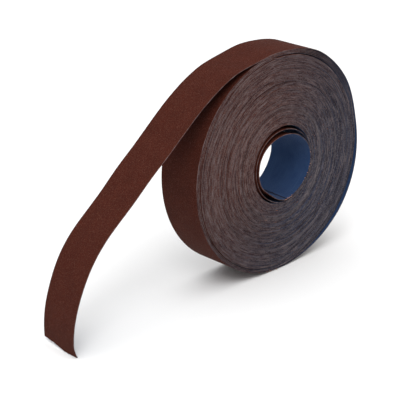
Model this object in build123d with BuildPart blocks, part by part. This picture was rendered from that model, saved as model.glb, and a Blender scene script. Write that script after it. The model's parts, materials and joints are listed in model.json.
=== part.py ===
from build123d import *
import os
from math import cos, pi, radians, sin

# A coreless shop roll of cloth-backed abrasive, standing on its rim like a wheel.
#
# Frame: the origin is on the roll's axis at the middle of the strip's width, +Y runs along
# the axis, +Z is up and the free tail leaves the top of the roll towards -X.
# Angles named *_angle are in degrees clockwise from the top, seen from the -Y side, which is
# the way the strip winds inwards.

# ---- strip ----
strip_width = 50.0
backing_thickness = 0.42
coat_thickness = 0.33
strip_thickness = backing_thickness + coat_thickness

# ---- roll ----
roll_radius = 115.0
bore_radius = 35.5
lap_clearance = 0.3
loose_lap_gap = 1.8
band_count = 8

# ---- how far laps stand proud of the -Y face ----
outer_lap_proud = 3.0
second_lap_proud = 2.0
first_lap_proud = 4.0

# ---- where laps begin and end ----
lift_off_angle = -3.2
outer_seam_gap = 12.0
loose_seam_gap = 3.0
inner_cut_angle = 172.0
inner_end_sweep = 40.0

# ---- tail: upper arc, straight run, lower arc down to the floor ----
upper_arc_radius = 183.0
upper_arc_turn = 35.0
upper_arc_sections = 2
lower_arc_radius = 129.0
lower_arc_turn = 54.0
lower_arc_sections = 3
section_gap = 0.8

# ---- derived sizes ----
outer_lap_inner = roll_radius - strip_thickness
pack_outer = outer_lap_inner - lap_clearance
second_lap_inner = bore_radius + strip_thickness + loose_lap_gap
pack_inner = second_lap_inner + strip_thickness + loose_lap_gap
band_pitch = (pack_outer - pack_inner + lap_clearance) / band_count
face_outline = Plane.XZ  # local x is X and local y is Z, so its normal is -Y


def write(part, label):
    part.label = label
    export_step(part, f"parts/{label}.step")


def ring_sector(centre, inner, outer, start, sweep, proud=0.0):
    """An arc-shaped strip layer: radii, and plan angles anticlockwise from +X."""
    plane = face_outline.offset(proud)
    with BuildPart() as layer:
        with BuildSketch(plane):
            with BuildLine():
                inside = CenterArc(centre, inner, start, sweep)
                outside = CenterArc(centre, outer, start, sweep)
                Line(inside @ 0, outside @ 0)
                Line(inside @ 1, outside @ 1)
            make_face()
        extrude(amount=strip_width / 2, both=True)
    return layer.part


def write_lap(name, inner, from_angle, to_angle, proud):
    """Both layers of a lap about the roll's axis: backing inside, coat outside."""
    start = 90 - to_angle
    sweep = to_angle - from_angle
    middle = inner + backing_thickness
    outer = inner + strip_thickness
    write(ring_sector((0, 0), inner, middle, start, sweep, proud), f"{name}_backing")
    write(ring_sector((0, 0), middle, outer, start, sweep, proud), f"{name}_coat")


os.makedirs("parts", exist_ok=True)

# ---- the outermost lap, from the lift-off round to just short of it ----
write_lap(
    "outer_lap",
    outer_lap_inner,
    lift_off_angle,
    lift_off_angle + 360 - outer_seam_gap,
    outer_lap_proud,
)

# ---- the wound turns, in bands that can slide along the axis past each other ----
for number in range(1, band_count + 1):
    inner = pack_inner + (number - 1) * band_pitch
    outer = inner + band_pitch - lap_clearance
    with BuildPart() as wound_turns:
        with BuildSketch(face_outline):
            Circle(outer)
            Circle(inner, mode=Mode.SUBTRACT)
        extrude(amount=strip_width / 2, both=True)
    write(wound_turns.part, f"wound_turns_{number}")

# ---- the two loose laps next to the bore, and the flexing inner end of the strip ----
hinge_gap_angle = section_gap / bore_radius * 180 / pi
inner_hinge_angle = inner_cut_angle - inner_end_sweep
write_lap(
    "second_lap",
    second_lap_inner,
    inner_cut_angle - 360 + loose_seam_gap,
    inner_cut_angle,
    second_lap_proud,
)
write_lap(
    "first_lap",
    bore_radius,
    inner_cut_angle - 360 + loose_seam_gap,
    inner_hinge_angle - hinge_gap_angle / 2,
    first_lap_proud,
)
write_lap(
    "inner_end",
    bore_radius,
    inner_hinge_angle + hinge_gap_angle / 2,
    inner_cut_angle,
    first_lap_proud,
)

# ---- the tail ----
# The path is the line between backing and coat. A heading is in degrees below horizontal,
# pointing away from the roll, and the coat is on the upper, outer side of the path.


def along(heading):
    return Vector(-cos(radians(heading)), -sin(radians(heading)))


def coat_side(heading):
    return Vector(-sin(radians(heading)), cos(radians(heading)))


path_radius = roll_radius - coat_thickness
lift_heading = -lift_off_angle
straight_heading = lift_heading + upper_arc_turn
end_heading = straight_heading + lower_arc_turn
path_start = coat_side(lift_heading) * path_radius

upper_drop = upper_arc_radius * (cos(radians(lift_heading)) - cos(radians(straight_heading)))
lower_drop = lower_arc_radius * (cos(radians(straight_heading)) - cos(radians(end_heading)))
end_height = -roll_radius - coat_thickness * cos(radians(end_heading))
straight_drop = path_start.Y - upper_drop - lower_drop - end_height
straight_length = straight_drop / sin(radians(straight_heading))

# each section: arc radius (None when straight), then the turn in degrees or the length in mm
sections = [(upper_arc_radius, upper_arc_turn / upper_arc_sections)] * upper_arc_sections
sections += [(None, straight_length)]
sections += [(lower_arc_radius, lower_arc_turn / lower_arc_sections)] * lower_arc_sections

point = path_start
heading = lift_heading
tail_length = 0.0
for number, (radius, extent) in enumerate(sections, start=1):
    print(f"tail_{number} starts at X {point.X:.3f} Z {point.Y:.3f} heading {heading:.2f}")
    last_section = number == len(sections)
    end_gap = 0.0 if last_section else section_gap / 2
    if radius is None:
        next_point = point + along(heading) * extent
        first = point + along(heading) * section_gap / 2
        length = extent - section_gap / 2 - end_gap
        middle = first + along(heading) * length / 2
        for layer, low, high in (
            ("backing", -backing_thickness, 0.0),
            ("coat", 0.0, coat_thickness),
        ):
            centre = middle + coat_side(heading) * (low + high) / 2
            with BuildPart() as straight_layer:
                with BuildSketch(face_outline):
                    with Locations(Location((centre.X, centre.Y), heading)):
                        Rectangle(length, high - low)
                extrude(amount=strip_width / 2, both=True)
            write(straight_layer.part, f"tail_{number}_{layer}")
        tail_length += extent
    else:
        arc_centre = point - coat_side(heading) * radius
        next_point = arc_centre + coat_side(heading + extent) * radius
        gap_angle = section_gap / 2 / radius * 180 / pi
        end_gap_angle = end_gap / radius * 180 / pi
        start = 90 + heading + gap_angle
        sweep = extent - gap_angle - end_gap_angle
        centre = (arc_centre.X, arc_centre.Y)
        backing = ring_sector(centre, radius - backing_thickness, radius, start, sweep)
        coat = ring_sector(centre, radius, radius + coat_thickness, start, sweep)
        write(backing, f"tail_{number}_backing")
        write(coat, f"tail_{number}_coat")
        tail_length += radius * radians(extent)
        heading += extent
    point = next_point

# ---- what the sizes add up to ----
wound_length = pi * (pack_outer**2 - pack_inner**2) / strip_thickness
lap_length = 2 * pi * (roll_radius + second_lap_inner + bore_radius)
print(f"tail end at X {point.X:.3f} Z {point.Y:.3f}, tail length {tail_length:.1f} mm")
print(f"turns in the bands {(pack_outer - pack_inner) / strip_thickness:.1f}")
print(f"whole strip {(wound_length + lap_length + tail_length) / 1000:.2f} m")
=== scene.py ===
import json
import math

import bmesh
import bpy
import numpy as np
from mathutils import Matrix, Vector


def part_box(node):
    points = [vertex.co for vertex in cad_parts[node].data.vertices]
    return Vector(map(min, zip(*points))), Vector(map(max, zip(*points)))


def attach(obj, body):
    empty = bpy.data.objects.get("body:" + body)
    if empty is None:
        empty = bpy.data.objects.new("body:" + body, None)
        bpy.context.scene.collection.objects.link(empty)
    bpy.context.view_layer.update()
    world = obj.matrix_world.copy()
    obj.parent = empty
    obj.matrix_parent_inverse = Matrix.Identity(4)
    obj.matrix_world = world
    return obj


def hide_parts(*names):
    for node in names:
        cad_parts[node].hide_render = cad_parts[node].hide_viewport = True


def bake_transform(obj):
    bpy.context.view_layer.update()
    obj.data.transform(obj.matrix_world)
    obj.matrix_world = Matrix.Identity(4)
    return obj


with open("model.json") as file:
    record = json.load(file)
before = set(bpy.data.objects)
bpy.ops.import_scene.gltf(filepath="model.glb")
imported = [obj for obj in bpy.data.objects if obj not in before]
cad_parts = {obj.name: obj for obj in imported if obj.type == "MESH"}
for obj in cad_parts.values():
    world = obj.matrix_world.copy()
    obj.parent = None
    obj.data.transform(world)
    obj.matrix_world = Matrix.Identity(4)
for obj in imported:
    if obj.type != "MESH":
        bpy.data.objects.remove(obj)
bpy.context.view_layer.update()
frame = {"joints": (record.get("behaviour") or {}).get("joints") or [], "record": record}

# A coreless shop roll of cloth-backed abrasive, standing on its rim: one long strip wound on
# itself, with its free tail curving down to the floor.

MM = 0.001

# ---- sizes in mm, and angles in degrees clockwise from the top, seen from the -Y side ----
# The strip winds inwards clockwise. It is a blue cloth backing with a brown coat of grit on
# its outer side.
backing_thickness = 0.42
coat_thickness = 0.33
strip_thickness = backing_thickness + coat_thickness
wound_backing = 0.40
wound_coat = 0.32
loose_gap = 1.8
upper_arc_radius, upper_arc_turn = 183.0, 35.0
lower_arc_radius, lower_arc_turn = 129.0, 54.0
inner_cut_angle = 172.0
inner_end_sweep = 40.0
band_count = 8
whole_turns = 97
outer_turns = 4
outer_bulge, slip_gap = 3.5, 0.75
face_cone = 3.7
lead_angle = 70.0

# how finely each stretch is divided: the step between its rows of points, in degrees or on the
# tail in mm, and the points across it
outer_turns_step, wound_step, wound_columns = 2.0, 2.5, 2
outer_lap_step, outer_lap_columns = 1.5, 14
loose_lap_step, loose_lap_columns = 2.0, 12
inner_end_step, inner_end_columns = 1.5, 24
tail_step, tail_columns = 1.6, 30


def node_size(node):
    low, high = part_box(node)
    return [(high[axis] - low[axis]) / MM for axis in range(3)]


joints = {joint["name"]: joint for joint in frame["joints"]}
bore = next(m for m in frame["record"]["mounts"] if m["name"] == "core_bore")
bore_radius = bore["dims"]["r_mm"]
strip_width = node_size("outer_lap_coat")[1]
roll_radius = -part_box("outer_lap_coat")[0][2] / MM
pack_outer = node_size(f"wound_turns_{band_count}")[0] / 2
pack_inner = bore_radius + 2 * (strip_thickness + loose_gap)
lift_x, _, lift_z = joints["tail_lift"]["pos_m"]
lift_angle = math.degrees(math.atan2(lift_x, lift_z))
floor_height = -roll_radius
turns_in_bands = whole_turns + (inner_cut_angle - lift_angle) / 360

rng = np.random.default_rng(11)


# ---- smooth random functions ----
def ease(t):
    return t * t * (3 - 2 * t)


def bump(value, low, high, soft):
    """0 outside low to high and 1 inside, easing over soft at each side."""
    rise = ease(np.clip((value - low) / soft, 0, 1))
    fall = ease(np.clip((high - value) / soft, 0, 1))
    return rise * fall


def wave(knots, position):
    """A smooth curve through evenly spaced random knots, repeating past its last."""
    cell = np.floor(position).astype(int)
    share = ease(position - cell)
    count = len(knots)
    return knots[cell % count] * (1 - share) + knots[(cell + 1) % count] * share


def sheet_noise(knots, across, around):
    """Smooth noise over two directions, repeating in both."""
    rows, columns = knots.shape
    row = np.floor(across).astype(int)
    column = np.floor(around).astype(int)
    a, b = ease(across - row), ease(around - column)
    top = knots[row % rows, column % columns] * (1 - b)
    top = top + knots[row % rows, (column + 1) % columns] * b
    bottom = knots[(row + 1) % rows, column % columns] * (1 - b)
    bottom = bottom + knots[(row + 1) % rows, (column + 1) % columns] * b
    return top * (1 - a) + bottom * a


# ---- node materials ----
class Nodes:
    """A short way to write a node tree."""

    def __init__(self, tree):
        self.tree = tree

    def add(self, kind, inputs=None, **settings):
        node = self.tree.nodes.new(kind)
        for key, value in settings.items():
            setattr(node, key, value)
        for key, value in (inputs or {}).items():
            self.put(node.inputs[key], value)
        return node

    def put(self, socket, value):
        if isinstance(value, bpy.types.NodeSocket):
            self.tree.links.new(value, socket)
        else:
            socket.default_value = value

    def math(self, operation, first, second=0.0):
        node = self.add("ShaderNodeMath", operation=operation)
        self.put(node.inputs[0], first)
        self.put(node.inputs[1], second)
        return node.outputs[0]

    def mix(self, share, first, second):
        node = self.add("ShaderNodeMix", data_type="RGBA")
        self.put(node.inputs["Factor"], share)
        self.put(node.inputs["A"], first)
        self.put(node.inputs["B"], second)
        return node.outputs["Result"]

    def remap(self, value, low, high, to_low=0.0, to_high=1.0):
        node = self.add("ShaderNodeMapRange")
        self.put(node.inputs["Value"], value)
        for key, number in zip(
            ("From Min", "From Max", "To Min", "To Max"), (low, high, to_low, to_high)
        ):
            node.inputs[key].default_value = number
        return node.outputs["Result"]


class Surface(Nodes):
    """The node tree of a new material."""

    def __init__(self, name):
        self.material = bpy.data.materials.new(name)
        self.material.use_nodes = True
        super().__init__(self.material.node_tree)
        self.shader = self.tree.nodes["Principled BSDF"]

    def strip_place(self, along=1.0, across=1.0):
        """Distance along the strip and across it, each stretched by a factor."""
        place = self.add("ShaderNodeUVMap", uv_map="strip").outputs["UV"]
        scaled = self.add("ShaderNodeVectorMath", operation="MULTIPLY")
        self.put(scaled.inputs[0], place)
        scaled.inputs[1].default_value = (along, across, 1.0)
        return scaled.outputs["Vector"]

    def ring_place(self, outward, around):
        """Places about the roll's axis: noise there runs in arcs, and has no seam."""
        place = self.add("ShaderNodeTexCoord").outputs["Object"]
        flat = self.add("ShaderNodeVectorMath", operation="MULTIPLY")
        self.put(flat.inputs[0], place)
        flat.inputs[1].default_value = (1.0, 0.0, 1.0)
        radius = self.add("ShaderNodeVectorMath", operation="LENGTH")
        self.put(radius.inputs[0], flat.outputs["Vector"])
        side = self.add("ShaderNodeVectorMath", operation="NORMALIZE")
        self.put(side.inputs[0], flat.outputs["Vector"])
        parts = self.add("ShaderNodeSeparateXYZ")
        self.put(parts.inputs[0], side.outputs["Vector"])
        spot = self.add("ShaderNodeCombineXYZ")
        self.put(spot.inputs[0], self.math("MULTIPLY", radius.outputs["Value"], outward))
        self.put(spot.inputs[1], self.math("MULTIPLY", parts.outputs["X"], around))
        self.put(spot.inputs[2], self.math("MULTIPLY", parts.outputs["Z"], around))
        return spot.outputs["Vector"]

    def noise(self, place, scale, detail=2.0, roughness=0.5):
        node = self.add("ShaderNodeTexNoise")
        self.put(node.inputs["Vector"], place)
        node.inputs["Scale"].default_value = scale
        node.inputs["Detail"].default_value = detail
        node.inputs["Roughness"].default_value = roughness
        return node.outputs["Fac"]

    def grains(self, place, scale):
        node = self.add("ShaderNodeTexVoronoi")
        self.put(node.inputs["Vector"], place)
        node.inputs["Scale"].default_value = scale
        return node

    def finish(self, colour, roughness, height=None, bump_mm=0.1, strength=1.0):
        self.put(self.shader.inputs["Base Color"], colour)
        self.put(self.shader.inputs["Roughness"], roughness)
        if height is not None:
            node = self.add("ShaderNodeBump")
            node.inputs["Strength"].default_value = strength
            node.inputs["Distance"].default_value = bump_mm * MM
            self.put(node.inputs["Height"], height)
            self.put(self.shader.inputs["Normal"], node.outputs["Normal"])
        return self.material


def coat_material():
    """Brown abrasive grit in resin: close grains, some darker, a few glassy and pale."""
    n = Surface("abrasive_coat")
    place = n.strip_place()
    grains = n.grains(place, 2300.0)
    grain_height = n.remap(grains.outputs["Distance"], 0.0, 0.75, 1.0, 0.0)
    tint = n.add("ShaderNodeSeparateColor")
    n.put(tint.inputs["Color"], grains.outputs["Color"])
    patches = n.noise(place, 55.0, 3.0)
    streaks = n.noise(n.strip_place(6.0, 260.0), 1.0, 3.0)
    speckle = n.noise(place, 900.0, 2.0, 0.7)
    body = n.mix(n.remap(patches, 0.3, 0.7), (0.044, 0.0080, 0.0038, 1), (0.055, 0.0103, 0.0050, 1))
    body = n.mix(n.remap(streaks, 0.45, 0.8, 0.0, 0.3), body, (0.043, 0.0088, 0.0052, 1))
    body = n.mix(n.remap(tint.outputs[0], 0.0, 0.4, 0.75, 0.0), body, (0.018, 0.0038, 0.0024, 1))
    body = n.mix(n.remap(tint.outputs[1], 0.88, 1.0, 0.0, 0.6), body, (0.15, 0.066, 0.045, 1))
    body = n.mix(n.remap(speckle, 0.50, 0.72, 0.0, 0.6), body, (0.088, 0.026, 0.017, 1))
    rough = n.remap(tint.outputs[2], 0.0, 1.0, 0.62, 0.95)
    height = n.math("ADD", grain_height, n.math("MULTIPLY", speckle, 0.6))
    n.shader.inputs["Specular IOR Level"].default_value = 0.07
    return n.finish(body, rough, height, 0.22, 0.9)


def backing_material():
    """Blue woven cotton: warp along the strip, weft across it, a little nap."""
    n = Surface("cloth_backing")
    place = n.strip_place()
    parts = n.add("ShaderNodeSeparateXYZ")
    n.put(parts.inputs[0], place)
    warp_spacing, weft_spacing = 0.62 * MM, 0.74 * MM
    turn = 2 * math.pi
    warp = n.math("SINE", n.math("MULTIPLY", parts.outputs["Y"], turn / warp_spacing))
    weft = n.math("SINE", n.math("MULTIPLY", parts.outputs["X"], turn / weft_spacing))
    weave = n.math("MULTIPLY", warp, weft)
    nap = n.noise(place, 1500.0, 3.0, 0.7)
    yarns = n.noise(n.strip_place(30.0, 1500.0), 1.0, 2.0)
    patches = n.noise(place, 70.0, 3.0)
    blue = n.mix(n.remap(patches, 0.3, 0.7), (0.014, 0.036, 0.100, 1), (0.021, 0.048, 0.120, 1))
    blue = n.mix(n.remap(weave, -1.0, 1.0, 0.0, 0.35), blue, (0.007, 0.018, 0.052, 1))
    blue = n.mix(n.remap(yarns, 0.5, 0.8, 0.0, 0.4), blue, (0.037, 0.078, 0.155, 1))
    blue = n.mix(n.remap(nap, 0.6, 0.85, 0.0, 0.5), blue, (0.055, 0.10, 0.18, 1))
    height = n.math("ADD", weave, n.math("MULTIPLY", nap, 1.2))
    n.shader.inputs["Specular IOR Level"].default_value = 0.08
    n.shader.inputs["Sheen Weight"].default_value = 0.04
    n.shader.inputs["Sheen Roughness"].default_value = 0.6
    return n.finish(blue, n.remap(nap, 0.0, 1.0, 0.8, 1.0), height, 0.12, 0.7)


def cloth_edge_material():
    """The backing's cut edge: dusty blue-grey lint, with a few rusty ends of yarn, and painted
    shade and painted highlights in arcs along the turns and in rings about the axis.
    """
    n = Surface("cloth_cut_edge")
    lint = n.noise(n.strip_place(900.0, 900.0), 1.0, 4.0, 0.7)
    drift = n.noise(n.strip_place(40.0, 40.0), 1.0, 3.0)
    arcs = n.noise(n.strip_place(6.5, 0.0), 1.0, 2.0, 0.6)
    ends = n.noise(n.strip_place(800.0, 900.0), 1.0, 1.0)
    clumps = n.noise(n.add("ShaderNodeTexCoord").outputs["Object"], 700.0, 2.0, 0.6)
    rings = n.noise(n.ring_place(620.0, 7.0), 1.0, 2.0, 0.55)
    body = n.mix(n.remap(lint, 0.35, 0.65), (0.009, 0.011, 0.023, 1), (0.108, 0.102, 0.120, 1))
    body = n.mix(n.remap(drift, 0.45, 0.7, 0.0, 0.5), body, (0.052, 0.040, 0.040, 1))
    # painted shade and painted highlight: near-black arcs along the turns' edges stand in for the
    # shadow in the gaps between wound turns, and pale arcs for light on turns that stand proud
    body = n.mix(n.remap(arcs, 0.50, 0.36, 0.0, 0.80), body, (0.008, 0.008, 0.014, 1))
    body = n.mix(n.remap(arcs, 0.56, 0.70, 0.0, 0.60), body, (0.190, 0.165, 0.170, 1))
    # painted highlight and painted shade again, in rings about the axis: pale rings for light on
    # proud turns, near-black rings for the shade between turns
    body = n.mix(n.remap(rings, 0.54, 0.70, 0.0, 0.50), body, (0.185, 0.150, 0.152, 1))
    body = n.mix(n.remap(rings, 0.46, 0.32, 0.0, 0.65), body, (0.012, 0.011, 0.017, 1))
    body = n.mix(n.remap(clumps, 0.54, 0.68, 0.0, 0.35), body, (0.175, 0.140, 0.142, 1))
    body = n.mix(n.remap(clumps, 0.46, 0.34, 0.0, 0.35), body, (0.014, 0.012, 0.018, 1))
    body = n.mix(n.remap(ends, 0.72, 0.76, 0.0, 0.7), body, (0.26, 0.11, 0.07, 1))
    n.shader.inputs["Specular IOR Level"].default_value = 0.06
    return n.finish(body, 0.95, lint, 0.25, 1.0)


def coat_edge_material():
    """The coat's cut edge: chipped resin and grit, with lint dragged across it, and painted shade
    and painted highlights in arcs along the turns and in rings about the axis.
    """
    n = Surface("coat_cut_edge")
    chips = n.noise(n.strip_place(1300.0, 1300.0), 1.0, 3.0, 0.7)
    lint = n.noise(n.strip_place(160.0, 700.0), 1.0, 3.0, 0.6)
    clumps = n.noise(n.add("ShaderNodeTexCoord").outputs["Object"], 700.0, 2.0, 0.6)
    rings = n.noise(n.ring_place(620.0, 7.0), 1.0, 2.0, 0.55)
    arcs = n.noise(n.strip_place(5.0, 0.0), 1.0, 2.0, 0.6)
    body = n.mix(n.remap(chips, 0.35, 0.65), (0.045, 0.014, 0.009, 1), (0.135, 0.060, 0.046, 1))
    body = n.mix(n.remap(lint, 0.42, 0.72, 0.0, 0.75), body, (0.18, 0.140, 0.140, 1))
    # painted shade: dark arcs along the turns' edges stand in for the shadow in the gaps between
    # wound turns
    body = n.mix(n.remap(arcs, 0.50, 0.36, 0.0, 0.75), body, (0.024, 0.008, 0.006, 1))
    # painted highlight and painted shade in rings about the axis: pale rings for light on proud
    # turns, dark rings for the shade between turns
    body = n.mix(n.remap(rings, 0.54, 0.70, 0.0, 0.45), body, (0.190, 0.145, 0.142, 1))
    body = n.mix(n.remap(rings, 0.46, 0.32, 0.0, 0.60), body, (0.024, 0.009, 0.007, 1))
    body = n.mix(n.remap(clumps, 0.54, 0.68, 0.0, 0.3), body, (0.185, 0.140, 0.138, 1))
    body = n.mix(n.remap(clumps, 0.46, 0.34, 0.0, 0.3), body, (0.026, 0.010, 0.008, 1))
    n.shader.inputs["Specular IOR Level"].default_value = 0.06
    return n.finish(body, 0.9, chips, 0.25, 1.0)


def thread_material():
    """Frayed cotton yarn: off-white, dusty with brown grit."""
    n = Surface("frayed_yarn")
    place = n.add("ShaderNodeTexCoord").outputs["Object"]
    dust = n.noise(place, 700.0, 3.0)
    body = n.mix(n.remap(dust, 0.4, 0.65), (0.62, 0.30, 0.18, 1), (0.22, 0.15, 0.14, 1))
    return n.finish(body, 0.95, dust, 0.1, 0.8)


def floor_material():
    """A pale, matt studio floor."""
    n = Surface("studio_floor")
    place = n.add("ShaderNodeTexCoord").outputs["Object"]
    cloud = n.noise(place, 1.5, 2.0)
    body = n.mix(cloud, (0.77, 0.77, 0.77, 1), (0.79, 0.79, 0.79, 1))
    return n.finish(body, 0.9)


coat_faces = coat_material()
backing_faces = backing_material()
cloth_edge = cloth_edge_material()
coat_edge = coat_edge_material()
yarn = thread_material()


# ---- paths in the XZ plane: each gives places, outward normals and length so far, in mm ----
def turning_path(radius_at, first_length=0.0):
    """A path about the roll's axis. Its parameter is the clockwise angle in degrees."""

    def path(angle):
        turn = np.radians(angle)
        outward = np.stack([np.sin(turn), np.cos(turn)], -1)
        radius = radius_at(angle)
        return radius[..., None] * outward, outward, first_length + np.radians(angle) * radius

    return path


def heading_side(heading):
    """The coat's side of the tail at a heading, in degrees below horizontal."""
    turn = np.radians(heading)
    return np.stack([-np.sin(turn), np.cos(turn)], -1)


def heading_along(heading):
    """The tail's direction, away from the roll, at a heading in degrees below horizontal."""
    turn = np.radians(heading)
    return np.stack([-np.cos(turn), -np.sin(turn)], -1)


lift_heading = -lift_angle
straight_heading = lift_heading + upper_arc_turn
end_heading = straight_heading + lower_arc_turn
upper_arc_length = upper_arc_radius * math.radians(upper_arc_turn)
lower_arc_length = lower_arc_radius * math.radians(lower_arc_turn)
tail_start = heading_side(lift_heading) * (roll_radius - coat_thickness)
upper_centre = tail_start - heading_side(lift_heading) * upper_arc_radius
upper_end = upper_centre + heading_side(straight_heading) * upper_arc_radius
drop_of_lower = lower_arc_radius * (
    math.cos(math.radians(straight_heading)) - math.cos(math.radians(end_heading))
)
straight_length = (upper_end[1] - drop_of_lower - floor_height) / math.sin(
    math.radians(straight_heading)
)
lower_start = upper_end + heading_along(straight_heading) * straight_length
lower_centre = lower_start - heading_side(straight_heading) * lower_arc_radius
lower_from = upper_arc_length + straight_length
tail_length = lower_from + lower_arc_length


def tail_path(length):
    """The tail from the lift-off down to the floor. Its parameter is the length in mm."""
    upper = np.clip(length, 0, upper_arc_length)
    straight = np.clip(length - upper_arc_length, 0, straight_length)
    lower = np.clip(length - lower_from, 0, None)
    heading = lift_heading + np.degrees(upper / upper_arc_radius + lower / lower_arc_radius)
    side = heading_side(heading)
    on_upper = upper_centre + side * upper_arc_radius
    on_straight = upper_end + heading_along(straight_heading) * straight[..., None]
    on_lower = lower_centre + side * lower_arc_radius
    place = np.where((length < upper_arc_length)[..., None], on_upper, on_straight)
    place = np.where((length > lower_from)[..., None], on_lower, place)
    return place, side, length


# ---- strips ----
# how far each layer's cut edge is drawn in at its outer face, its middle and its inner face:
# the shears leave a low ridge where the two layers meet
coat_edge_profile = (0.34, 0.12, 0.0)
cloth_edge_profile = (0.0, 0.06, 0.34)
sharp_angle = 35.0


def strip_layer(name, spots, path, low, high, shift, lift, cut, profile):
    """One layer of the strip as a closed solid.

    spots holds the path's parameter for each row of points across the strip, low and high
    are the layer's faces measured along the outward normal, shift moves the strip along Y
    and lift along its normal, cut says which ends are real cuts that show their edge, and
    profile is how far the cut edge is drawn in at the outer face, middle and inner face."""
    rows, columns = spots.shape
    across = np.linspace(-0.5, 0.5, columns)
    place, side, length = path(spots)
    centre = np.broadcast_to(np.reshape(shift, (rows, -1)), spots.shape)
    at_outer, at_middle, at_inner = profile
    edge_side = np.zeros(columns)
    edge_side[0], edge_side[-1] = -1.0, 1.0

    def face(height, drawn_in):
        xz = place + side * (height + lift)[..., None]
        y = centre + across[None, :] * strip_width - edge_side * drawn_in
        return np.stack([xz[..., 0], y, xz[..., 1]], -1)

    top = face(high, at_outer)
    under = face(low, at_inner)
    middle = face((low + high) / 2, at_middle)
    rings = np.concatenate([top, middle[:, -1:], under[:, ::-1], middle[:, :1]], 1)
    around = rings.shape[1]
    ring_length = np.concatenate([length, length[:, -1:], length[:, ::-1], length[:, :1]], 1)

    i = np.arange(rows - 1)[:, None]
    j = np.arange(around)[None, :]
    following = (j + 1) % around
    a, b = i * around + j, (i + 1) * around + j
    c, d = (i + 1) * around + following, i * around + following
    quads = np.stack([a, b, c, d], -1).reshape(-1, 4)
    edge_columns = np.isin(np.arange(around), [columns - 1, columns, 2 * columns, 2 * columns + 1])
    is_edge = np.tile(edge_columns, rows - 1)

    caps = []
    for row, flip in ((0, False), (rows - 1, True)):
        base = row * around
        low_row = base + 2 * columns
        end = [[base + k, base + k + 1, low_row - k - 1, low_row - k] for k in range(columns - 1)]
        end.append([base + columns - 1, base + columns, low_row - columns + 1])
        end.append([low_row, base + around - 1, base])
        caps += [face_[::-1] if flip else face_ for face_ in end]
    mesh = bpy.data.meshes.new(name)
    mesh.from_pydata((rings.reshape(-1, 3) * MM).tolist(), [], quads.tolist() + caps)
    cap_is_edge = np.repeat(cut, columns + 1)
    slots = np.concatenate([is_edge, cap_is_edge]).astype(np.int32)
    mesh.polygons.foreach_set("material_index", slots)

    vertex_of = np.zeros(len(mesh.loops), np.int32)
    mesh.loops.foreach_get("vertex_index", vertex_of)
    flat = np.stack([ring_length.reshape(-1) * MM, rings[..., 1].reshape(-1) * MM], -1)
    uv = mesh.uv_layers.new(name="strip")
    uv.data.foreach_set("uv", flat[vertex_of].astype(np.float32).ravel())
    mesh.polygons.foreach_set("use_smooth", np.ones(len(mesh.polygons), bool))
    mesh.set_sharp_from_angle(angle=math.radians(sharp_angle))
    mesh.update()
    piece = bpy.data.objects.new(name, mesh)
    bpy.context.collection.objects.link(piece)
    return piece


# frayed yarn: its radius and how deep its root is buried, in mm, and the share of its radius
# that is gone at its tip
yarn_radius, yarn_root = 0.26, 0.4
yarn_taper = 0.6
yarn_sides = 5
# a direction that lies across the yarn ends, which all run mostly along Y
across_yarn = Vector((0.3, 0.2, 0.9))


def add_frays(piece, frays):
    """Adds frayed yarn ends to a piece. Each is its centre line, in mm."""
    work = bmesh.new()
    work.from_mesh(piece.data)
    piece.data.materials.append(yarn)
    for line in frays:
        line = [Vector(point) for point in line]
        rings = []
        for step, centre in enumerate(line):
            along = line[min(step + 1, len(line) - 1)] - line[max(step - 1, 0)]
            side = along.cross(across_yarn).normalized()
            other = along.cross(side).normalized()
            thin = yarn_radius * (1 - yarn_taper * step / (len(line) - 1))
            ring = []
            for corner in range(yarn_sides):
                turn = 2 * math.pi * corner / yarn_sides
                offset = side * math.cos(turn) + other * math.sin(turn)
                ring.append(work.verts.new((centre + offset * thin) * MM))
            rings.append(ring)
        faces = [work.faces.new(rings[0][::-1]), work.faces.new(rings[-1])]
        for low, high in zip(rings, rings[1:]):
            for corner in range(yarn_sides):
                following = (corner + 1) % yarn_sides
                corners = (low[corner], low[following], high[following], high[corner])
                faces.append(work.faces.new(corners))
        for face in faces:
            face.material_index = len(piece.data.materials) - 1
            face.smooth = True
    work.to_mesh(piece.data)
    work.free()


def frays_from(path, angles, inset, y, reach, rise):
    """Centre lines of yarn ends: from a strip's edge out towards -Y, curling off its normal."""
    lines = []
    for angle in angles:
        places, sides, _ = path(np.array([angle, angle + rng.normal(0, 0.8)], float))
        base, normal = places[0], sides[0]
        slide = places[1] - places[0]
        length = reach * rng.uniform(0.6, 1.3)
        lean = rise * rng.normal(0.8, 0.6)
        line = []
        for share in (0.0, 0.3, 0.65, 1.0):
            xz = base - normal * (inset + lean * share**2) + slide * share
            line.append((xz[0], y + yarn_root - (length + yarn_root) * share, xz[1]))
        lines.append(line)
    return lines


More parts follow.
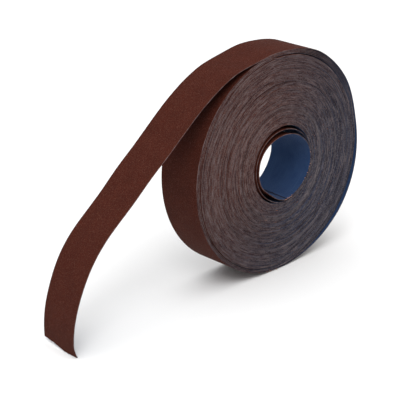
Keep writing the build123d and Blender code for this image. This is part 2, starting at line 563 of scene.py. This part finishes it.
def strip_pair(
    name,
    spots,
    path,
    shift,
    nodes,
    body=None,
    bend=None,
    lift=None,
    cut=(0, 0),
    frays=(),
):
    """Backing and coat over one stretch of the strip, riding on a body, or else fixed where it is
    built, on no body.

    nodes are the CAD nodes that the stretch stands for. bend is two bodies and the path's
    parameters where the turn starts and ends, which are not used to bend the stretch, and frays are
    the centre lines of yarn ends that stand out of the backing."""
    wound = name.startswith("turns")
    backing_mm = wound_backing if wound else backing_thickness
    coat_mm = wound_coat if wound else coat_thickness
    lift = np.zeros_like(spots) if lift is None else lift
    layers = (
        ("cloth", -backing_mm, 0.0, cloth_edge_profile, (backing_faces, cloth_edge)),
        ("grit", 0.0, coat_mm, coat_edge_profile, (coat_faces, coat_edge)),
    )
    for layer, low, high, profile, materials in layers:
        piece = strip_layer(
            f"{name}_{layer}", spots, path, low, high, shift, lift, cut, profile
        )
        for material in materials:
            piece.data.materials.append(material)
        if layer == "cloth" and len(frays):
            add_frays(piece, frays)
        if body:
            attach(piece, body)
        else:
            first, second, start, end = bend
            ends, _, _ = path(np.array([start, end], float))
            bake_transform(piece)
    if nodes:
        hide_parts(*[node for node in nodes if not node.endswith("_coat")])
        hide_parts(*[node for node in nodes if not node.endswith("_backing")])
    line, _, _ = path(spots[:, 0])


def even_spots(first, last, step, columns):
    """Rows of evenly spaced parameters from first to last, the same in each column."""
    count = max(2, int(round(abs(last - first) / step)) + 1)
    return np.repeat(np.linspace(first, last, count)[:, None], columns, 1)


# ---- how the wound edges stand: each turn a little out of line with its neighbours ----
turn_knots = rng.normal(0, 0.20, 1201)
fine_knots = rng.normal(0, 0.06, 5003)
group_knots = rng.normal(0, 0.22, (37, 9))
pitch = (pack_outer - pack_inner) / turns_in_bands

# turns that stand out of line: the radius in mm, the clockwise angles where it starts and ends,
# and how far along Y in mm
stray_turns = (
    (112.2, 190, 275, 1.1),
    (98.5, -30, 45, -0.55),
    (90.0, -10, 60, -0.5),
    (83.5, -45, 30, -0.5),
    (66.0, 100, 250, -0.35),
    (55.0, 130, 200, 0.5),
)
stray_half_width, stray_softness, stray_ease = 0.5, 0.35, 25
# how far the turns just inside the slip gap stand out, and the turns over which that fades
slip_proud, slip_fade = 0.6, 3


def wound_shift(angle):
    """How far a turn's edge stands along Y, in mm, at a clockwise angle from the lift-off."""
    turn = (angle - lift_angle) / 360
    radius = pack_outer - pitch * turn
    shift = wave(turn_knots, turn * 2.3) + wave(fine_knots, turn * 23)
    shift = shift + sheet_noise(group_knots, radius / 2.3, (angle % 360) / 40)
    clock = angle % 360
    upright = (clock + 180) % 360 - 180
    for at, low, high, amount in stray_turns:
        # a stretch that crosses the top is given in angles from -180 to 180
        place = upright if low < 0 else clock
        near_it = bump(radius, at - stray_half_width, at + stray_half_width, stray_softness)
        shift = shift + amount * near_it * bump(place, low, high, stray_ease)
    slipping = np.clip(turn - outer_turns, 0, None)
    shift = shift - slip_proud * np.exp(-slipping / slip_fade) * (turn >= outer_turns)
    held = ease(np.clip(turn * 2, 0, 1))
    return shift * held - face_cone * (pack_outer - radius) / (pack_outer - pack_inner)


def upper_right(angle):
    """1 at the roll's upper right, where its outer turns bulge, easing to 0 elsewhere."""
    return bump((angle + 180) % 360 - 180, 3, 82, 28)


def outer_turn_radius(angle):
    """Radius between backing and coat in the outer turns, which bulge with the outer lap."""
    turn = (angle - lift_angle) / 360
    swell = outer_bulge * (outer_turns - turn) / (outer_turns + 1)
    return pack_outer - wound_coat - pitch * turn + swell * upper_right(angle)


def wound_radius(angle):
    """Radius between backing and coat in the turns that can turn and slide."""
    turn = (angle - lift_angle) / 360 - outer_turns
    slip_radius = pack_outer - wound_coat - pitch * outer_turns - slip_gap
    inner_pitch = pitch - slip_gap / (turns_in_bands - outer_turns)
    return slip_radius - inner_pitch * turn


# ---- the wound turns: four that stay with the outermost lap, and then band by band ----
# each band but the outermost starts with a lead, fixed where it is built
wound_path = turning_path(wound_radius)
band_angle = turns_in_bands * 360 / band_count
slip_angle = lift_angle + 360 * outer_turns
spots = even_spots(lift_angle, slip_angle, outer_turns_step, wound_columns)
path = turning_path(outer_turn_radius)
strip_pair("turns_outer", spots, path, wound_shift(spots[:, 0]), [], body="outer_lap")
for number in range(1, band_count + 1):
    start = lift_angle + (band_count - number) * band_angle
    lead = lead_angle
    if number == band_count:
        lead = 360.0 * outer_turns
    else:
        spots = even_spots(start, start + lead, wound_step, wound_columns)
        bend = (f"turns_{number + 1}", f"turns_{number}", start, start + lead)
        shift = wound_shift(spots[:, 0])
        strip_pair(f"turns_{number}_lead", spots, wound_path, shift, [], bend=bend)
    spots = even_spots(start + lead, start + band_angle, wound_step, wound_columns)
    shift = wound_shift(spots[:, 0])
    nodes = [f"wound_turns_{number}"]
    strip_pair(f"turns_{number}", spots, wound_path, shift, nodes, body=f"turns_{number}")


# ---- the outermost lap: it bulges at the upper right and stands out at the lower right ----
def outer_lap_radius(angle):
    share = (angle - lift_angle) / 360
    last = pack_outer - wound_coat
    held = (roll_radius - coat_thickness) * (1 - share) + last * share
    return held + outer_bulge * upper_right(angle)


def outer_lap_shift(angle):
    """How far the outermost lap's edge stands along Y: it comes out at the lower right."""
    early, late = 0.5 * bump(angle, 30, 165, 50), 3.3 * bump(angle, 66, 174, 50)
    return -late - early


spots = even_spots(lift_angle, lift_angle + 360, outer_lap_step, outer_lap_columns)
outer_path = turning_path(outer_lap_radius)
strip_pair(
    "outer_lap",
    spots,
    outer_path,
    outer_lap_shift(spots[:, 0]),
    ["outer_lap_backing", "outer_lap_coat"],
    body="outer_lap",
    frays=frays_from(outer_path, [183, 188, 190, 196, 203], 0.2, -25.0, 2.6, 0.3),
)

# ---- the loose laps at the bore: oval, slackest at the top, and off the turns at lower left ----
# the clockwise angle, the gap outside the second lap and the gap outside the first, in mm: the
# second lap's is below 0 where that lap runs into the turn outside it
gap_table = (
    (-188, -0.75, 1.0),
    (-170, 0.3, 2.6),
    (-153, 1.9, 4.2),
    (-135, 2.3, 4.2),
    (-117, 2.2, 2.0),
    (-95, 2.0, 1.5),
    (-70, 2.1, 1.7),
    (-54, 2.4, 2.4),
    (-36, 3.1, 3.5),
    (-16, 3.8, 4.2),
    (0, 4.0, 4.3),
    (16, 3.9, 4.1),
    (46, 2.7, 2.8),
    (67, 1.45, 1.3),
    (87, 0.72, 0.2),
    (106, 0.76, 0.1),
    (123, 0.86, 0.3),
    (137, 1.0, 0.8),
    (158, 1.2, 1.0),
    (172, 1.0, 0.3),
)
gap_angles, second_gaps, first_gaps = np.array(gap_table).T
# weights that round off the table's corners
smoothing = np.hanning(23)
# how far the second lap comes out of the near face, how much further the first one does, and
# the degrees over which they do; then how far the first lap's far edge is drawn in
second_lap_proud, first_lap_proud, coming_out = 0.9, 1.5, 90
first_lap_cone = 5.5


def smooth_table(values):
    """A smooth function of the clockwise angle, near the table's gaps, worked out each degree."""
    fine = np.linspace(gap_angles[0], gap_angles[-1], 361)
    curve = np.interp(fine, gap_angles, values)
    curve = np.pad(curve, len(smoothing) // 2, mode="reflect", reflect_type="odd")
    curve = np.convolve(curve, smoothing / smoothing.sum(), mode="valid")
    return lambda angle: np.interp(angle, fine, curve)


second_gap = smooth_table(second_gaps)
first_gap = smooth_table(first_gaps)
lap_start = inner_cut_angle - 360


def second_lap_radius(angle):
    return pack_inner - second_gap(angle) - coat_thickness


def first_lap_radius(angle):
    return second_lap_radius(angle) - backing_thickness - first_gap(angle) - coat_thickness


def come_out(angle):
    """0 where the loose laps start and 1 once they stand out in full."""
    return ease(np.clip((angle - lap_start) / coming_out, 0, 1))


def second_lap_shift(angle):
    return -face_cone - second_lap_proud * come_out(angle)


def first_lap_shift(angle):
    return -face_cone - second_lap_proud - first_lap_proud * come_out(angle)


def first_lap_lift(spots, across):
    """The innermost lap is slightly conical: its far edge is drawn in at the right."""
    return -first_lap_cone * bump(spots, -60, 190, 80) * (across + 0.5)


inner_hinge_angle = inner_cut_angle - inner_end_sweep
flex_reach = 20
end_piece_angle = inner_hinge_angle - flex_reach
for name, radius_at, shift_at, last, outer in (
    ("second_lap", second_lap_radius, second_lap_shift, inner_cut_angle, "turns_1"),
    ("first_lap", first_lap_radius, first_lap_shift, end_piece_angle, "second_lap"),
):
    path = turning_path(radius_at)
    across = np.linspace(-0.5, 0.5, loose_lap_columns)[None, :]
    lead_end = lap_start + lead_angle
    spots = even_spots(lap_start, lead_end, loose_lap_step, loose_lap_columns)
    bend = (outer, name, lap_start, lead_end)
    first = name == "first_lap"
    lift = first_lap_lift(spots, across) if first else None
    shift = shift_at(spots[:, 0])
    strip_pair(f"{name}_lead", spots, path, shift, [], bend=bend, lift=lift)
    spots = even_spots(lead_end, last, loose_lap_step, loose_lap_columns)
    lift = first_lap_lift(spots, across) if first else None
    nodes = [f"{name}_backing", f"{name}_coat"]
    shift = shift_at(spots[:, 0])
    frays = ()
    if first:
        near_edge = -strip_width / 2 + float(first_lap_shift(100.0))
        frays = frays_from(path, [84, 96, 103, 108], 0.2, near_edge, 0.9, 0.5)
    strip_pair(name, spots, path, shift, nodes, body=name, lift=lift, frays=frays)

# ---- the inner end, whose cut is ragged ----
spots = even_spots(end_piece_angle, inner_cut_angle, inner_end_step, inner_end_columns)
across = np.linspace(-0.5, 0.5, inner_end_columns)[None, :]
slant = np.linspace(0.8, -0.6, inner_end_columns)
ragged = rng.normal(0, 0.30, inner_end_columns) + slant
stretch = (spots - end_piece_angle) / (inner_cut_angle - end_piece_angle)
spots = spots + stretch**4 * ragged[None, :]
first_lap_path = turning_path(first_lap_radius)
fray_angles = [118, 127, 163, 167, 170, 171.5, 174, 177, 179]
strip_pair(
    "inner_end",
    spots,
    first_lap_path,
    first_lap_shift(spots[:, 0]),
    ["inner_end_backing", "inner_end_coat"],
    bend=("first_lap", "inner_end", end_piece_angle, inner_hinge_angle + flex_reach),
    lift=first_lap_lift(spots, across),
    cut=(0, 1),
    frays=frays_from(first_lap_path, fray_angles, 0.3, near_edge, 1.6, 1.6),
)

# ---- the tail ----
tail_knots = rng.normal(0, 0.22, 64)
skew_knots = rng.normal(0, 0.25, 64)
half_upper, third_lower = upper_arc_length / 2, lower_arc_length / 3
hinge_lengths = [0.0, half_upper, upper_arc_length, lower_from]
hinge_lengths += [lower_from + third_lower, lower_from + 2 * third_lower]
middles = [(a + b) / 2 for a, b in zip(hinge_lengths[1:], hinge_lengths[2:])]
# tail_1's pieces stop this far short of tail_2's hinge line, in mm, and tail_2's pieces start there
first_edge_back = 11
tail_edges = [0.0, half_upper - first_edge_back] + middles + [tail_length]
# how the tail is bent out of its path: a twist in degrees, and a cup, a bow and a rise of its
# near edge in mm
tail_twist = -4.5
tail_cup, tail_bow, near_edge_rise = 0.5, 1.3, 0.7

# the tail's cut, in mm: its slant, how far back it is, how ragged it is, and the length and
# the drop of its curling near corner
cut_slant, cut_back, cut_ragged = 4.0, 0.25, 0.35
corner_length, corner_drop = 16, 4.0


def tail_lift(length, across):
    """How far the tail's surface stands off its path: a bow, a twist, waves and a cup."""
    share = ease(np.clip(length / 40, 0, 1))
    waves = wave(tail_knots, length / 31 + 3) + wave(skew_knots, length / 47) * across * 2
    cup = -tail_cup * (1 - (2 * across) ** 2)
    bow = tail_bow * ease(np.clip((length - 12) / 45, 0, 1)) - bump(length, 0, 60, 28)
    near = near_edge_rise * (0.5 - across) * ease(np.clip(length / 45, 0, 1))
    turn = math.radians(tail_twist) * length / tail_length
    return share * (waves + cup) + bow + near + turn * across * strip_width


across = np.linspace(-0.5, 0.5, tail_columns)[None, :]
tail_bodies = ["outer_lap"] + [f"tail_{number}" for number in range(1, 7)]
for number in range(1, 7):
    first, last = tail_edges[number - 1], tail_edges[number]
    spots = even_spots(first, last, tail_step, tail_columns)
    is_end = number == 6
    curl = 0.0
    if is_end:
        share = (spots - first) / (last - first)
        ragged = np.abs(rng.normal(0, cut_ragged, tail_columns))
        cut_line = -cut_slant * (across + 0.5) - ragged[None, :] - cut_back
        spots = spots + share**3 * cut_line
        near_end = np.clip((spots - last + corner_length) / corner_length, 0, 1)
        near_corner = near_end * np.clip((-across - 0.1) / 0.4, 0, 1)
        curl = -corner_drop * near_corner**2
    hinge = hinge_lengths[number - 1]
    reach = min(hinge - first, last - hinge)
    start, end = (hinge - reach, hinge + reach) if number > 1 else (0.0, last - 1)
    nodes = [f"tail_{number}_backing", f"tail_{number}_coat"]
    strip_pair(
        f"tail_{number}",
        spots,
        tail_path,
        0.0 * spots[:, 0],
        nodes,
        bend=(tail_bodies[number - 1], tail_bodies[number], start, end),
        lift=tail_lift(spots, across) + curl,
        cut=(0, 1 if is_end else 0),
    )


# ---- stage, light and camera: places in metres, and the camera's angles in degrees ----
camera_place = (-0.9456, -0.9225, 0.5000)
camera_heading, camera_drop, camera_roll = 42.95, 22.44, 1.34
focal_length, sensor_width = 126.0, 36.0
key_place, key_size, key_watts = (-1.2, -1.0, 1.8), 1.2, 22.0
fill_place, fill_size, fill_watts = (1.4, -1.6, 0.9), 1.4, 1.5
# the sky's strength level with the floor and overhead, and what is added below a low height
level_glow, overhead_glow = 0.14, 2.45
low_glow, low_glow_ends = 0.86, (0.13, 0.24)


def make_floor():
    size = 9.0
    mesh = bpy.data.meshes.new("floor")
    corners = [(-size, -size), (size, -size), (size, size), (-size, size)]
    mesh.from_pydata([(x, y, floor_height * MM) for x, y in corners], [], [(0, 1, 2, 3)])
    floor = bpy.data.objects.new("floor", mesh)
    mesh.materials.append(floor_material())
    bpy.context.collection.objects.link(floor)


def aim(thing, forward, tilt=0.0):
    """Turns a camera or lamp, which looks along its own -Z, to look along a direction."""
    forward = Vector(forward).normalized()
    level = forward.cross(Vector((0, 0, 1))).normalized()
    up = math.cos(tilt) * level.cross(forward) + math.sin(tilt) * level
    thing.matrix_world = Matrix.Translation(thing.location) @ Matrix(
        (forward.cross(up), up, -forward)
    ).transposed().to_4x4()


def softbox(name, place, size, watts):
    """A round soft light that faces the roll."""
    data = bpy.data.lights.new(name, "AREA")
    data.shape = "DISK"
    data.size = size
    data.energy = watts
    lamp = bpy.data.objects.new(name, data)
    lamp.location = place
    bpy.context.collection.objects.link(lamp)
    aim(lamp, -Vector(place))


def make_camera():
    data = bpy.data.cameras.new("camera")
    data.sensor_width = sensor_width
    data.lens = focal_length
    camera = bpy.data.objects.new("camera", data)
    camera.location = camera_place
    bpy.context.collection.objects.link(camera)
    heading, drop = math.radians(camera_heading), math.radians(camera_drop)
    level = math.cos(drop)
    forward = (level * math.sin(heading), level * math.cos(heading), -math.sin(drop))
    aim(camera, forward, math.radians(camera_roll))
    bpy.context.scene.camera = camera


def make_sky():
    """White light from all round: it grows with the square of the height above level, and a
    second part lights everything below a low height."""
    world = bpy.data.worlds.new("studio")
    world.use_nodes = True
    n = Nodes(world.node_tree)
    parts = n.add("ShaderNodeSeparateXYZ")
    n.put(parts.inputs[0], n.add("ShaderNodeTexCoord").outputs["Generated"])
    height = parts.outputs["Z"]
    squared = n.math("MULTIPLY", height, n.math("MAXIMUM", height))
    high_part = n.remap(squared, 0.0, 1.0, level_glow, overhead_glow)
    low_part = n.remap(height, *low_glow_ends, low_glow, 0.0)
    background = n.tree.nodes["Background"]
    n.put(background.inputs["Strength"], n.math("ADD", high_part, low_part))
    background.inputs["Color"].default_value = (1, 1, 1, 1)
    bpy.context.scene.world = world


make_floor()
softbox("key", key_place, key_size, key_watts)
softbox("fill", fill_place, fill_size, fill_watts)
make_camera()
make_sky()
bpy.context.scene.view_settings.view_transform = "Standard"
